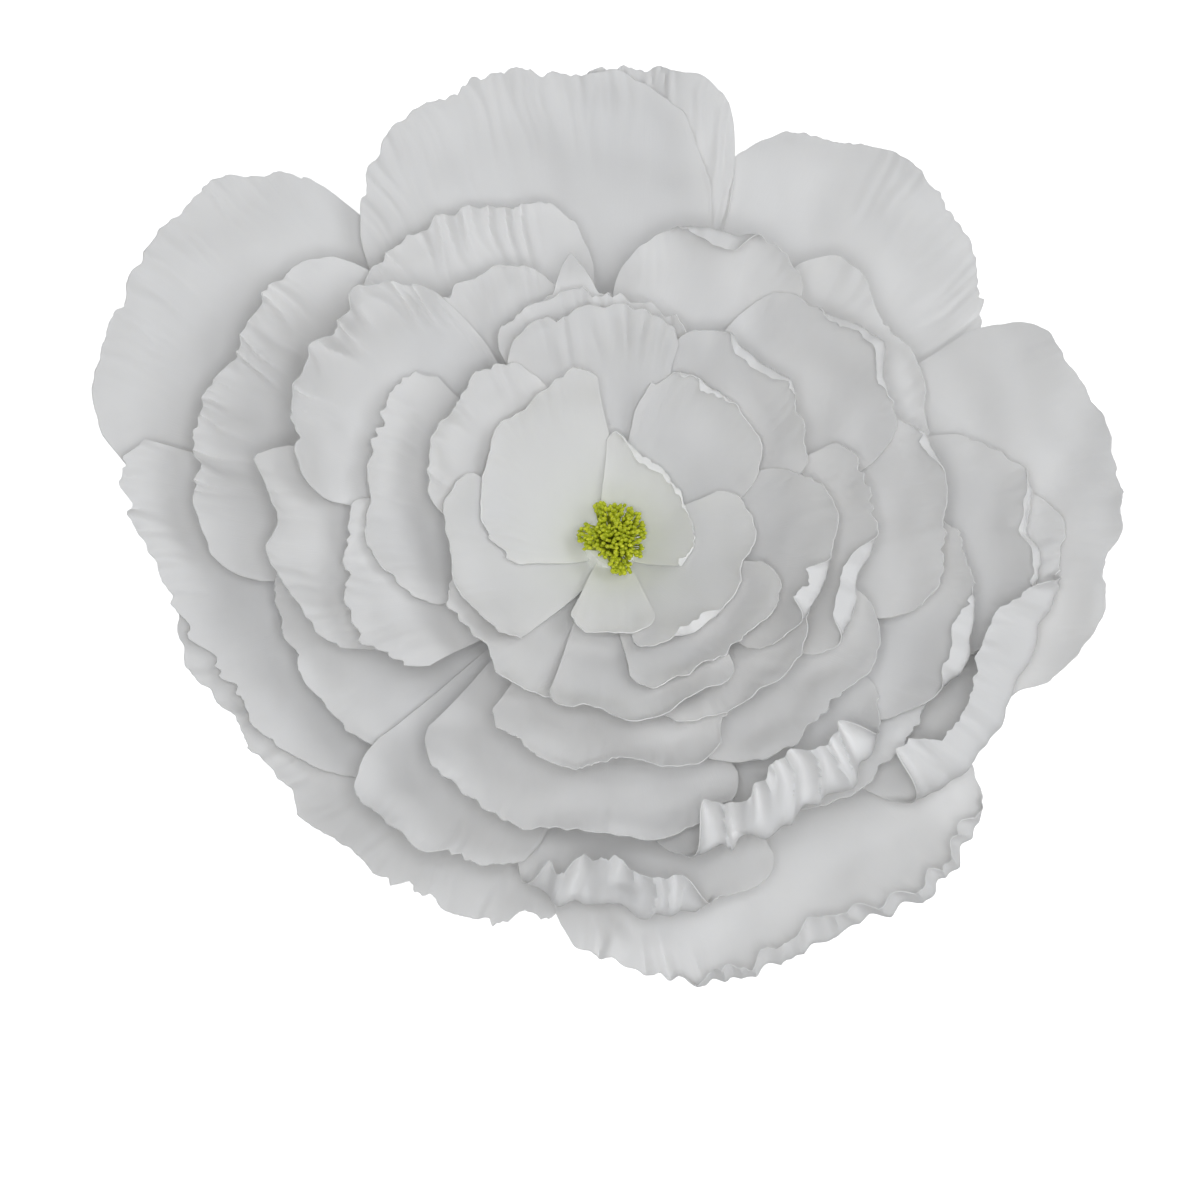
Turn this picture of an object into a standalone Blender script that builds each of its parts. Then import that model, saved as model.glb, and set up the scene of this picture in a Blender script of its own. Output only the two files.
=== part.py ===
"""Giant paper flower: layers of large curved petals glued in rows round a tapered core, with a bead
stamen cluster in the middle and a flat disc on the back. The flower lies on its back and faces +Z.
Every petal lies on its own bowl-shaped surface of revolution. The bowls nest, so petals in
different rows never touch, and a petal gets the lowest row that is free above its neighbours."""

import math
from dataclasses import dataclass

import bpy

# All lengths are in metres and all angles in degrees.
SHEET = 0.0015          # thickness of one petal sheet
DISC_RADIUS = 0.075
DISC_THICKNESS = 0.003
GLUE_GAP = 0.0003       # between pieces that are glued face to face
SEAT_GAP = 0.0008       # from a petal's base edge to the tapered core

# Rows of petals up the core: the lowest row opens widest.
FIRST_ROW_ABOVE_DISC = 0.003
ROW_PITCH = 0.0034
CORE_BASE_RADIUS = 0.060
CORE_TOP_RADIUS = 0.022
LEAN_LOWEST = 2.0       # slope of a petal where it leaves the core
LEAN_HIGHEST = 36.0
BEND_LOWEST = 0.62      # radius that a petal is bent to, from core to rim
BEND_HIGHEST = 0.30
BEND_EASE = 1.3

# Distance from the axis to the rim. Each ring reaches its own step beyond the ring inside it.
HEART_REACH = 0.084
FIFTH_STEP = 0.066
FOURTH_STEP = 0.040
THIRD_STEP = 0.050
SECOND_STEP = 0.050
GUARD_STEP = 0.080

# Outline of one petal. The shares are of the sheet's length.
CORNER_DROP = 0.25      # how much shorter the sheet is at its side corners
CORNER_POWER = 3.0
CORNER_ROUND = 0.10     # rounds off the last bit of each corner
ROUND_POWER = 12.0
TIP_HALF_WIDTH = 0.33   # half width of a drawn-out tip, as a share of the petal's half width
FLARE = 0.35            # how much wider the sheet's angle is at the core than at the rim
FLUTE = 0.008           # height of the pressed flutes at the rim
FLUTES_START = 0.35     # share of the length that is left smooth

# A rim that is rolled back over the petal.
ROLL_RADIUS = 0.014
ROLL_TURN = 112.0
ROLL_EASE = 0.25        # stretch of the half width over which the roll fades out
ROLL_WAVE = 0.25        # how much the rolled depth varies

# Stamens: a bundle of stalks with a bead on each end.
BUNDLE_RADIUS = 0.011
BUNDLE_HEIGHT = 0.020
CLUSTER_HALF_WIDTH = 0.023
CLUSTER_HALF_LENGTH = 0.025
CLUSTER_CROWN = 0.007
BEAD_RADIUS = 0.0025
BEADS = 48

ROW_CLEARANCE = 2.0     # petals nearer than this in azimuth count as overlapping
ROUND_STEPS = 64
GOLDEN_ANGLE = math.pi * (3.0 - math.sqrt(5.0))


@dataclass
class Petal:
    """One petal. Azimuth runs anticlockwise from +X. over is how far it passes its ring's reach, and
    roll is the depth of rim that is rolled back, both as a share of that reach."""
    azimuth: float
    half_angle: float
    over: float = 0.0
    skew: float = 0.0               # positive: longer on the anticlockwise side
    corners: tuple = (CORNER_DROP, CORNER_DROP)     # drop on the clockwise and anticlockwise side
    tip: float = 0.0                # positive: drawn out to a point
    tip_at: float = 0.0             # place of that point across the petal, from -1 to 1
    roll: float = 0.0
    roll_span: tuple = (-0.7, 0.7)  # stretch of the width that is rolled
    waves: float = 2.5
    phase: float = 0.0


# Each ring in the order its petals are glued, so a later one lies over an earlier neighbour.
RINGS = {
    "guard": [
        Petal(152, 25, 0.155, corners=(0.20, 0.20), phase=0.4),
        Petal(50, 26, 0.020, skew=0.03, corners=(0.22, 0.26), tip=0.03, phase=1.9),
        Petal(225, 40, -0.125, skew=-0.06, corners=(-0.08, 0.00), phase=3.0),
        Petal(294, 34, -0.025, skew=0.04, corners=(0.13, 0.05), roll=0.045, roll_span=(-0.3, 0.7), phase=0.9),
        Petal(1, 29, 0.045, corners=(0.30, 0.12), phase=2.2),
        Petal(85, 14, 0.030, corners=(0.22, 0.10), phase=4.1),
        Petal(201, 32, -0.120, skew=-0.23, corners=(-0.05, 0.12), phase=5.0),
        Petal(340, 26, -0.085, skew=0.08, corners=(0.04, 0.04), roll=0.10, roll_span=(-0.75, 0.35), phase=1.2),
        Petal(101, 31, 0.015, corners=(0.40, 0.22), phase=2.8),
    ],
    "second": [
        Petal(160, 28, 0.140, corners=(0.11, 0.13), phase=3.3),
        Petal(357, 22, 0.120, phase=0.2),
        Petal(272, 24, 0.035, skew=0.07, corners=(0.15, 0.02), roll=0.10, roll_span=(-0.50, 0.35), phase=2.4),
        Petal(38, 26, -0.040, skew=0.06, corners=(0.06, 0.35), phase=1.0),
        Petal(208, 24, -0.085, skew=-0.07, corners=(0.03, 0.11), phase=4.4),
        Petal(118, 24, -0.025, skew=0.02, corners=(0.17, 0.09), phase=0.6),
        Petal(325, 27, -0.035, corners=(0.12, 0.12), phase=5.5),
        Petal(240, 18, 0.000, corners=(0.15, 0.19), phase=3.9),
        Petal(342, 20, -0.015, corners=(0.12, 0.12), phase=2.0),
        Petal(303, 26, -0.065, corners=(0.06, 0.12), roll=0.12, roll_span=(-0.6, 0.50), phase=1.5),
    ],
    "third": [
        Petal(70, 20, 0.010, skew=-0.08, corners=(0.09, 0.11), phase=2.6),
        Petal(2, 22, 0.060, corners=(0.09, 0.10), phase=3.5),
        Petal(189, 23, 0.075, skew=-0.04, corners=(0.05, 0.42), tip=0.10, tip_at=-0.75, phase=5.1),
        Petal(262, 34, 0.030, corners=(0.12, 0.07), phase=0.8),
        Petal(37, 24, -0.015, skew=-0.06, corners=(0.19, 0.12), phase=5.6),
        Petal(124, 24, -0.050, skew=0.10, corners=(0.11, 0.19), phase=1.3),
        Petal(318, 30, -0.065, phase=2.1),
        Petal(150, 26, 0.090, corners=(0.35, 0.19), phase=2.9),
        Petal(196, 22, -0.130, corners=(0.06, 0.12), phase=1.9),
        Petal(99, 16, -0.210, tip=0.18, phase=3.2),
    ],
    "fourth": [
        Petal(352, 28, 0.040, corners=(0.05, 0.07), phase=4.7),
        Petal(172, 32, 0.000, skew=-0.10, corners=(0.06, 0.10), phase=1.7),
        Petal(95, 28, -0.065, skew=0.04, corners=(0.09, 0.06), phase=3.6),
        Petal(270, 32, 0.045, corners=(0.09, 0.09), phase=0.5),
        Petal(42, 30, -0.120, corners=(0.09, 0.07), phase=5.9),
        Petal(312, 28, -0.070, corners=(0.12, 0.12), phase=2.3),
    ],
    "fifth": [
        Petal(97, 27, 0.085, corners=(0.06, 0.06), phase=0.7),
        Petal(350, 34, 0.115, corners=(0.09, 0.38), phase=1.1),
        Petal(240, 44, -0.035, corners=(0.05, 0.06), phase=3.4),
        Petal(147, 32, 0.010, corners=(0.20, 0.17), phase=2.7),
        Petal(280, 30, 0.055, corners=(0.09, 0.09), phase=4.9),
        Petal(46, 34, -0.130, corners=(0.35, 0.19), phase=5.2),
        Petal(310, 34, -0.080, corners=(0.12, 0.12), phase=5.8),
        Petal(196, 36, -0.130, corners=(0.06, 0.06), phase=2.5),
    ],
    "heart": [
        Petal(330, 50, 0.285, corners=(0.19, 0.19), phase=0.3),
        Petal(270, 27, 0.000, corners=(0.12, 0.12), phase=2.2),
        Petal(148, 52, 0.300, skew=-0.28, corners=(0.07, 0.06), phase=4.2),
        Petal(34, 60, -0.240, corners=(0.05, 0.00), tip=0.28, tip_at=0.92, phase=3.7),
    ],
}

# Grid cells across and along the sheet in each ring.
CELLS = {"guard": (12, 5), "second": (10, 5), "third": (10, 4), "fourth": (8, 4), "fifth": (8, 4), "heart": (8, 4)}
ROLL_CELLS = 3          # more cells along a sheet whose rim is rolled

WHITE = (0.83, 0.83, 0.82)


def ring_reaches():
    """Distance from the axis to the rim of each ring."""
    steps = {
        "heart": HEART_REACH,
        "fifth": FIFTH_STEP,
        "fourth": FOURTH_STEP,
        "third": THIRD_STEP,
        "second": SECOND_STEP,
        "guard": GUARD_STEP,
    }
    reaches = {}
    reach = 0.0
    for ring, step in steps.items():
        reach += step
        reaches[ring] = reach
    return reaches


def overlap_in_azimuth(one, other):
    """Whether two petals cover a common stretch of azimuth."""
    apart = abs((one.azimuth - other.azimuth + 180.0) % 360.0 - 180.0)
    return apart < (one.half_angle + other.half_angle) * (1.0 + FLARE) + ROW_CLEARANCE


def stack_rows():
    """Row number of every petal, counted up the core."""
    rows = {}
    floor = 0
    for ring, petals in RINGS.items():
        for index, petal in enumerate(petals):
            below = [rows[ring, i] for i in range(index) if overlap_in_azimuth(petal, petals[i])]
            rows[ring, index] = max([floor] + [row + 1 for row in below])
        floor = 1 + max(rows.values())
    return rows


ROWS = stack_rows()
ROW_COUNT = 1 + max(ROWS.values())
REACHES = ring_reaches()


def row_height(row):
    """Height of a row's base edge."""
    return DISC_THICKNESS + FIRST_ROW_ABOVE_DISC + row * ROW_PITCH


def row_radius(row):
    """Radius of a row's base edge."""
    up = row / (ROW_COUNT - 1)
    return CORE_BASE_RADIUS + (CORE_TOP_RADIUS - CORE_BASE_RADIUS) * up


def row_bowl(row):
    """Base radius, base height, starting slope and bend radius of a row's bowl."""
    up = row / (ROW_COUNT - 1)
    lean = math.radians(LEAN_LOWEST + (LEAN_HIGHEST - LEAN_LOWEST) * up)
    bend = BEND_LOWEST + (BEND_HIGHEST - BEND_LOWEST) * up ** BEND_EASE
    return row_radius(row), row_height(row), lean, bend


def follow_arc(radius, height, slope, length, bend):
    """Move along an arc in the r-z plane. Returns the new radius, height and slope."""
    end = slope + length / bend
    radius += bend * (math.sin(end) - math.sin(slope))
    height += bend * (math.cos(slope) - math.cos(end))
    return radius, height, end


def smooth(value):
    """Ease from 0 to 1."""
    value = min(1.0, max(0.0, value))
    return value * value * (3.0 - 2.0 * value)


def sheet_length(row, rim_radius):
    """Length along the bowl from the core to a rim at the given distance from the axis."""
    radius, _, lean, bend = row_bowl(row)
    end = math.asin(min(0.98, (rim_radius - radius) / bend + math.sin(lean)))
    return bend * (end - lean)


def roll_share(petal, across):
    """How fully the rim is rolled at this place across the petal, from 0 to 1."""
    if not petal.roll:
        return 0.0
    first, last = petal.roll_span
    rises = smooth((across - first + ROLL_EASE) / ROLL_EASE)
    falls = smooth((last + ROLL_EASE - across) / ROLL_EASE)
    return rises * falls


def petal_point(petal, row, rim_radius, across, along, side):
    """A point of the sheet: across runs -1 to 1, along 0 to 1 from core to rim, side is -1 or 1."""
    radius, height, lean, bend = row_bowl(row)
    rolled = roll_share(petal, across)
    inset = ROLL_RADIUS * (1.0 - math.sin(lean + rim_radius / bend)) if petal.roll else 0.0
    flat = sheet_length(row, rim_radius - inset)
    wave = math.sin(petal.waves * math.pi * across + petal.phase)
    outline = 1.0 - petal.corners[across > 0.0] * abs(across) ** CORNER_POWER
    outline -= CORNER_ROUND * abs(across) ** ROUND_POWER
    outline += petal.skew * across
    outline += petal.tip * (1.0 - min(1.0, abs(across - petal.tip_at) / TIP_HALF_WIDTH))
    turned = math.radians(ROLL_TURN) * ROLL_RADIUS * rolled
    curl = turned + petal.roll * rim_radius * rolled * (1.0 + ROLL_WAVE * wave)
    travel = along * (flat * outline + curl)
    on_bowl = min(travel, flat * outline)
    radius, height, slope = follow_arc(radius, height, lean, on_bowl, bend)
    on_roll = min(travel - on_bowl, turned)
    radius, height, slope = follow_arc(radius, height, slope, on_roll, ROLL_RADIUS)
    rest = travel - on_bowl - on_roll
    radius += rest * math.cos(slope)
    height += rest * math.sin(slope)
    flute = FLUTE * flat * wave * smooth((along - FLUTES_START) / (1.0 - FLUTES_START))
    lift = flute + side * SHEET / 2.0
    radius -= lift * math.sin(slope)
    height += lift * math.cos(slope)
    width = 1.0 + FLARE * (1.0 - along) ** 2
    turn = math.radians(petal.azimuth + petal.half_angle * width * across)
    return radius * math.cos(turn), radius * math.sin(turn), height


def sheet_mesh(name, point, cells_across, cells_along):
    """A closed sheet from a point function with arguments across, along and side."""
    columns = cells_across + 1
    vertices = []
    for side in (-1.0, 1.0):
        for j in range(cells_along + 1):
            for i in range(columns):
                vertices.append(point(2.0 * i / cells_across - 1.0, j / cells_along, side))
    upper = columns * (cells_along + 1)
    faces = []
    for j in range(cells_along):
        for i in range(cells_across):
            a = j * columns + i
            b = a + columns
            faces.append((a, a + 1, b + 1, b))
            faces.append((upper + a, upper + b, upper + b + 1, upper + a + 1))
    border = [i for i in range(columns)]
    border += [j * columns + cells_across for j in range(1, cells_along + 1)]
    border += [cells_along * columns + i for i in range(cells_across - 1, -1, -1)]
    border += [j * columns for j in range(cells_along - 1, 0, -1)]
    for a, b in zip(border, border[1:] + border[:1]):
        faces.append((b, a, upper + a, upper + b))
    mesh = bpy.data.meshes.new(name)
    mesh.from_pydata(vertices, [], faces)
    mesh.update()
    return mesh


def turned_mesh(name, profile, steps):
    """A closed solid turned round +Z from (radius, height) pairs, from bottom to top."""
    vertices = []
    for radius, height in profile:
        for k in range(steps):
            turn = 2.0 * math.pi * k / steps
            vertices.append((radius * math.cos(turn), radius * math.sin(turn), height))
    faces = [tuple(reversed(range(steps)))]
    for level in range(len(profile) - 1):
        for k in range(steps):
            a = level * steps + k
            b = level * steps + (k + 1) % steps
            faces.append((a, b, b + steps, a + steps))
    last = (len(profile) - 1) * steps
    faces.append(tuple(range(last, last + steps)))
    mesh = bpy.data.meshes.new(name)
    mesh.from_pydata(vertices, [], faces)
    mesh.update()
    return mesh


def make_material(name, colour, roughness):
    """A plain material with the part's colour and roughness."""
    material = bpy.data.materials.new(name)
    material.use_nodes = True
    shader = material.node_tree.nodes["Principled BSDF"]
    shader.inputs["Base Color"].default_value = (*colour, 1.0)
    shader.inputs["Roughness"].default_value = roughness
    shader.inputs["Metallic"].default_value = 0.0
    return material


def add_object(name, mesh, material):
    """Link a mesh into the scene as a named piece."""
    piece = bpy.data.objects.new(name, mesh)
    mesh.materials.append(material)
    bpy.context.collection.objects.link(piece)
    return piece


def make_disc():
    """Flat disc that the core is glued to. Its rear face is the face that rests or is mounted."""
    mesh = turned_mesh("backing_disc", [(DISC_RADIUS, 0.0), (DISC_RADIUS, DISC_THICKNESS)], ROUND_STEPS)
    return add_object("backing_disc", mesh, make_material("disc_card", (0.72, 0.71, 0.69), 0.8))


def core_top():
    """Height of the core's flat top."""
    return row_height(ROW_COUNT - 1) + ROW_PITCH


def make_core():
    """Tapered core that every petal's base edge is glued round."""
    bottom = DISC_THICKNESS + GLUE_GAP
    taper = (row_radius(1) - row_radius(0)) / ROW_PITCH
    radius_at = lambda height: row_radius(0) + taper * (height - row_height(0)) - SEAT_GAP
    profile = [(radius_at(bottom), bottom), (radius_at(core_top()), core_top())]
    mesh = turned_mesh("core", profile, ROUND_STEPS)
    return add_object("core", mesh, make_material("core_foam", (0.80, 0.80, 0.76), 0.85))


def make_petals():
    """Every petal, ring by ring."""
    for ring, petals in RINGS.items():
        for index, petal in enumerate(petals):
            name = f"{ring}_petal_{index + 1}"
            row = ROWS[ring, index]
            rim = REACHES[ring] * (1.0 + petal.over)
            across, along = CELLS[ring]
            along += ROLL_CELLS if petal.roll else 0
            point = lambda u, v, side: petal_point(petal, row, rim, u, v, side)
            mesh = sheet_mesh(name, point, across, along)
            add_object(name, mesh, make_material(f"{name}_sheet", WHITE, 0.6))


def bead_centres():
    """Centres of the beads, spread evenly over the crowned oval top of the bundle."""
    base = core_top() + GLUE_GAP + BUNDLE_HEIGHT
    centres = []
    for k in range(BEADS):
        out = math.sqrt((k + 0.5) / BEADS)
        turn = k * GOLDEN_ANGLE
        x = CLUSTER_HALF_WIDTH * out * math.cos(turn)
        y = CLUSTER_HALF_LENGTH * out * math.sin(turn)
        centres.append((x, y, base + CLUSTER_CROWN * (1.0 - out * out)))
    return centres


def bundle_mesh():
    """Stalk bundle, spread from a round foot to an oval crown."""
    steps = 24
    foot = core_top() + GLUE_GAP
    top = foot + BUNDLE_HEIGHT
    levels = [(BUNDLE_RADIUS, BUNDLE_RADIUS, foot), (CLUSTER_HALF_WIDTH, CLUSTER_HALF_LENGTH, top)]
    for out in (0.66, 0.33):
        crown = top + CLUSTER_CROWN * (1.0 - out * out)
        levels.append((CLUSTER_HALF_WIDTH * out, CLUSTER_HALF_LENGTH * out, crown))
    vertices = []
    for half_x, half_y, height in levels:
        for k in range(steps):
            turn = 2.0 * math.pi * k / steps
            vertices.append((half_x * math.cos(turn), half_y * math.sin(turn), height))
    faces = [tuple(reversed(range(steps)))]
    for level in range(len(levels) - 1):
        for k in range(steps):
            a = level * steps + k
            b = level * steps + (k + 1) % steps
            faces.append((a, b, b + steps, a + steps))
    peak = len(vertices)
    vertices.append((0.0, 0.0, top + CLUSTER_CROWN))
    last = (len(levels) - 1) * steps
    faces += [(last + k, last + (k + 1) % steps, peak) for k in range(steps)]
    mesh = bpy.data.meshes.new("stamens")
    mesh.from_pydata(vertices, [], faces)
    mesh.update()
    return mesh


def beads_mesh():
    """All beads as separate small faceted balls."""
    rings = 3
    steps = 6
    vertices = []
    faces = []
    for x, y, z in bead_centres():
        first = len(vertices)
        vertices.append((x, y, z - BEAD_RADIUS))
        for ring in range(1, rings + 1):
            tilt = math.pi * ring / (rings + 1)
            for k in range(steps):
                turn = 2.0 * math.pi * (k + 0.5 * ring) / steps
                out = BEAD_RADIUS * math.sin(tilt)
                vertices.append((x + out * math.cos(turn), y + out * math.sin(turn), z - BEAD_RADIUS * math.cos(tilt)))
        peak = len(vertices)
        vertices.append((x, y, z + BEAD_RADIUS))
        for k in range(steps):
            after = (k + 1) % steps
            faces.append((first, first + 1 + after, first + 1 + k))
            for ring in range(rings - 1):
                a = first + 1 + ring * steps
                faces.append((a + k, a + after, a + steps + k))
                faces.append((a + after, a + steps + after, a + steps + k))
            last = first + 1 + (rings - 1) * steps
            faces.append((last + k, last + after, peak))
    mesh = bpy.data.meshes.new("beads")
    mesh.from_pydata(vertices, [], faces)
    mesh.update()
    return mesh


def make_stamens():
    """Stalk bundle and beads, fused into one solid."""
    material = make_material("stamen_beads", (0.42, 0.46, 0.03), 0.45)
    bundle = add_object("stamens", bundle_mesh(), material)
    beads = add_object("beads", beads_mesh(), material)
    union = bundle.modifiers.new("fuse", "BOOLEAN")
    union.operation = "UNION"
    union.solver = "EXACT"
    union.use_self = True
    union.object = beads
    graph = bpy.context.evaluated_depsgraph_get()
    fused = bpy.data.meshes.new_from_object(bundle.evaluated_get(graph))
    bundle.modifiers.remove(union)
    bundle.data = fused
    bpy.data.objects.remove(beads)
    return bundle


def main():
    for old in list(bpy.data.objects):
        bpy.data.objects.remove(old)
    make_disc()
    make_core()
    make_petals()
    make_stamens()


main()
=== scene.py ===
# %% [markdown]
# # Giant paper flower
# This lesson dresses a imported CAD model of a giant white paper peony. The CAD model already holds every
# petal at its real size and place, as a solid 1.5 mm thick with few faces. Here each petal gets its real
# sheet, 0.8 mm thick, with pressed pleats, a ragged hand-cut rim and, on some, a rim that rolls back over
# the petal. The flower lies on its back and faces +Z, and every length is in metres.

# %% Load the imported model
import math

import bpy
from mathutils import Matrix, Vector


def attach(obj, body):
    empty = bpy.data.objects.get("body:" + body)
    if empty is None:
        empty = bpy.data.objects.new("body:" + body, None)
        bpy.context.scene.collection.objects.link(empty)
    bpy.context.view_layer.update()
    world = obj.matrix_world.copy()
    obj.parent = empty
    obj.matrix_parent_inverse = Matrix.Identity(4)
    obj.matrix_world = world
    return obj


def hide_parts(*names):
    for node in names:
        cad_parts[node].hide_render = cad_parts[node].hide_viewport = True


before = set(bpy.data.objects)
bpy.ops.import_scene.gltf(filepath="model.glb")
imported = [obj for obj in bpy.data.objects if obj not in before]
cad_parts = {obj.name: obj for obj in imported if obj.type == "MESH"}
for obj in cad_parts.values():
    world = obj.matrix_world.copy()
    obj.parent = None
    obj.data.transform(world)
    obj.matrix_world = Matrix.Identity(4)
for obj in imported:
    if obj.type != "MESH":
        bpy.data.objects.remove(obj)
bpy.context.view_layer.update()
print("nodes in the packed model:", len(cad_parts))

# %% [markdown]
# ## Camera
# The camera comes first, because it sets how the flower is seen. The flower is seen nearly from the front,
# so the camera looks steeply down on it. The scale follows from the flower's real width and its width in
# the photograph, and a long lens keeps the perspective as flat as the photograph's. The middle of the
# stamens is put where the photograph has it.

# %% Camera
PHOTO_SIDE = 1200               # pixels
FLOWER_WIDTH = 0.80
FLOWER_WIDTH_PIXELS = 1018
STAMENS_PIXEL = (613, 535)
STAMENS_HEIGHT = 0.105
CAMERA_ELEVATION = math.radians(80.0)
CAMERA_DISTANCE = 2.6
SENSOR_WIDTH = 36.0             # millimetres


def add_camera():
    """A camera that shows the stamens' middle at its own pixel and the flower at its own width."""
    metres_per_pixel = FLOWER_WIDTH / FLOWER_WIDTH_PIXELS
    look = Vector((0.0, math.cos(CAMERA_ELEVATION), -math.sin(CAMERA_ELEVATION)))
    right = Vector((1.0, 0.0, 0.0))
    up = right.cross(look)
    to_middle_x = (PHOTO_SIDE / 2 - STAMENS_PIXEL[0]) * metres_per_pixel
    to_middle_y = (STAMENS_PIXEL[1] - PHOTO_SIDE / 2) * metres_per_pixel
    aim = Vector((0.0, 0.0, STAMENS_HEIGHT)) + right * to_middle_x + up * to_middle_y
    data = bpy.data.cameras.new("camera")
    data.sensor_width = SENSOR_WIDTH
    data.lens = SENSOR_WIDTH * CAMERA_DISTANCE / (metres_per_pixel * PHOTO_SIDE)
    camera = bpy.data.objects.new("camera", data)
    camera.location = aim - look * CAMERA_DISTANCE
    camera.rotation_euler = look.to_track_quat("-Z", "Y").to_euler()
    bpy.context.scene.collection.objects.link(camera)
    bpy.context.scene.camera = camera
    return camera


print("lens in millimetres:", round(add_camera().data.lens, 1))

# %% [markdown]
# ## Arithmetic in a node tree
# A petal's shape is a formula, and Geometry Nodes can hold it. Wiring a hundred Math nodes by hand is
# hard to read, so this small class stands for one number in the tree: adding or multiplying two of
# them adds the Math node. The formulas below then read like ordinary Python, and the same class serves
# the materials, whose trees have the same Math node. A second helper adds any other node.

# %% A number inside a node tree
class Number:
    """One number in a node tree. Arithmetic on it adds Math nodes to the tree."""

    def __init__(self, tree, socket):
        self.tree = tree
        self.socket = socket

    def math(self, operation, *others):
        node = self.tree.nodes.new("ShaderNodeMath")
        node.operation = operation
        for socket, value in zip(node.inputs, (self, *others)):
            set_input(self.tree, socket, value)
        return Number(self.tree, node.outputs[0])

    def __add__(self, other):
        return self.math("ADD", other)

    def __sub__(self, other):
        return self.math("SUBTRACT", other)

    def __rsub__(self, other):
        return self.math("MULTIPLY_ADD", -1.0, other)

    def __mul__(self, other):
        return self.math("MULTIPLY", other)

    def __truediv__(self, other):
        return self.math("DIVIDE", other)

    def __pow__(self, other):
        return self.math("POWER", other)

    __radd__ = __add__
    __rmul__ = __mul__

    def sin(self):
        return self.math("SINE")

    def cos(self):
        return self.math("COSINE")

    def abs(self):
        return self.math("ABSOLUTE")

    def at_most(self, other):
        return self.math("MINIMUM", other)

    def at_least(self, other):
        return self.math("MAXIMUM", other)

    def over(self, other):
        """1 where the number is over the other, otherwise 0."""
        return self.math("GREATER_THAN", other)

    def held(self):
        """The number, kept between 0 and 1."""
        return self.at_least(0.0).at_most(1.0)

    def eased(self):
        """The number kept between 0 and 1, with a soft start and end."""
        held = self.held()
        return held * held * (held * -2.0 + 3.0)


def set_input(tree, socket, value):
    """Wire a number or another socket into a socket, or write a plain value on it."""
    if isinstance(value, Number):
        value = value.socket
    if isinstance(value, bpy.types.NodeSocket):
        tree.links.new(value, socket)
    else:
        socket.default_value = value


def set_inputs(tree, node, inputs):
    """Set the named inputs of a node."""
    for name, value in inputs.items():
        set_input(tree, node.inputs[name], value)


def add_node(tree, kind, inputs, **settings):
    """A new node. Its settings come first, because they can change which inputs it has."""
    node = tree.nodes.new(kind)
    for name, value in settings.items():
        setattr(node, name, value)
    set_inputs(tree, node, inputs)
    return node


def combine(tree, x, y, z):
    """A vector from three numbers."""
    return add_node(tree, "ShaderNodeCombineXYZ", {"X": x, "Y": y, "Z": z}).outputs[0]


def split(tree, vector):
    """The three numbers of a vector."""
    node = add_node(tree, "ShaderNodeSeparateXYZ", {"Vector": vector})
    return [Number(tree, socket) for socket in node.outputs]


# %% [markdown]
# ## Noise
# Hand-made paper is never even, so waves, notches, pleats and tones all take a little noise. Blender's
# noise texture stays near one half, so it is centred and spread before use. It always gives the same
# value at the same place, which keeps every run of the script alike.

# %% Noise
NOISE_SPREAD = 3.0


def noise(tree, x, y, z, detail=0.0):
    """Smooth noise of about -1 to 1 at a place."""
    place = combine(tree, x, y, z)
    node = add_node(tree, "ShaderNodeTexNoise", {"Vector": place, "Scale": 1.0, "Detail": detail})
    return (Number(tree, node.outputs[0]) - 0.5) * NOISE_SPREAD


# %% [markdown]
# ## Making and running a tree
# A tree gets named inputs, so that one tree can serve every petal. A modifier's input is set by the
# socket's identifier, and all of them before the object is first evaluated. The result is read back as a
# plain mesh, so that no piece depends on a live tree.

# %% Making and running a tree
SHARP_ANGLE = math.radians(50.0)


def new_tree(name, inputs):
    """A Geometry Nodes tree with named inputs. Returns the tree, its inputs and their identifiers."""
    tree = bpy.data.node_groups.new(name, "GeometryNodeTree")
    identifiers = {}
    for label, kind in inputs:
        socket = tree.interface.new_socket(label, in_out="INPUT", socket_type=kind)
        identifiers[label] = socket.identifier
    tree.interface.new_socket("Geometry", in_out="OUTPUT", socket_type="NodeSocketGeometry")
    entry = tree.nodes.new("NodeGroupInput")
    values = {}
    for label, kind in inputs:
        socket = entry.outputs[label]
        values[label] = Number(tree, socket) if kind == "NodeSocketFloat" else socket
    return tree, values, identifiers


def run_tree(name, tree, identifiers, settings, finish=None):
    """Evaluate a tree with these settings and return the result as a plain mesh object."""
    maker = bpy.data.objects.new(name, bpy.data.meshes.new(name))
    bpy.context.scene.collection.objects.link(maker)
    modifier = maker.modifiers.new("shape", "NODES")
    modifier.node_group = tree
    for label, value in settings.items():
        modifier[identifiers[label]] = value
    if finish:
        finish(maker)
    bpy.context.view_layer.update()
    graph = bpy.context.evaluated_depsgraph_get()
    mesh = bpy.data.meshes.new_from_object(maker.evaluated_get(graph))
    mesh.set_sharp_from_angle(angle=SHARP_ANGLE)
    maker.modifiers.clear()
    maker.data = mesh
    mesh.name = name
    return maker


# %% [markdown]
# ## How the petals are stacked
# Every petal is a flat sheet bent round the flower's axis, so it lies on a bowl. The bowls nest: each
# row up the core starts steeper and bends tighter. A petal takes the lowest row that is free above the
# neighbours it overlaps, which is how such a flower is glued. These are the CAD model's own rules, so
# that each sheet lies inside its solid.

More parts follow.
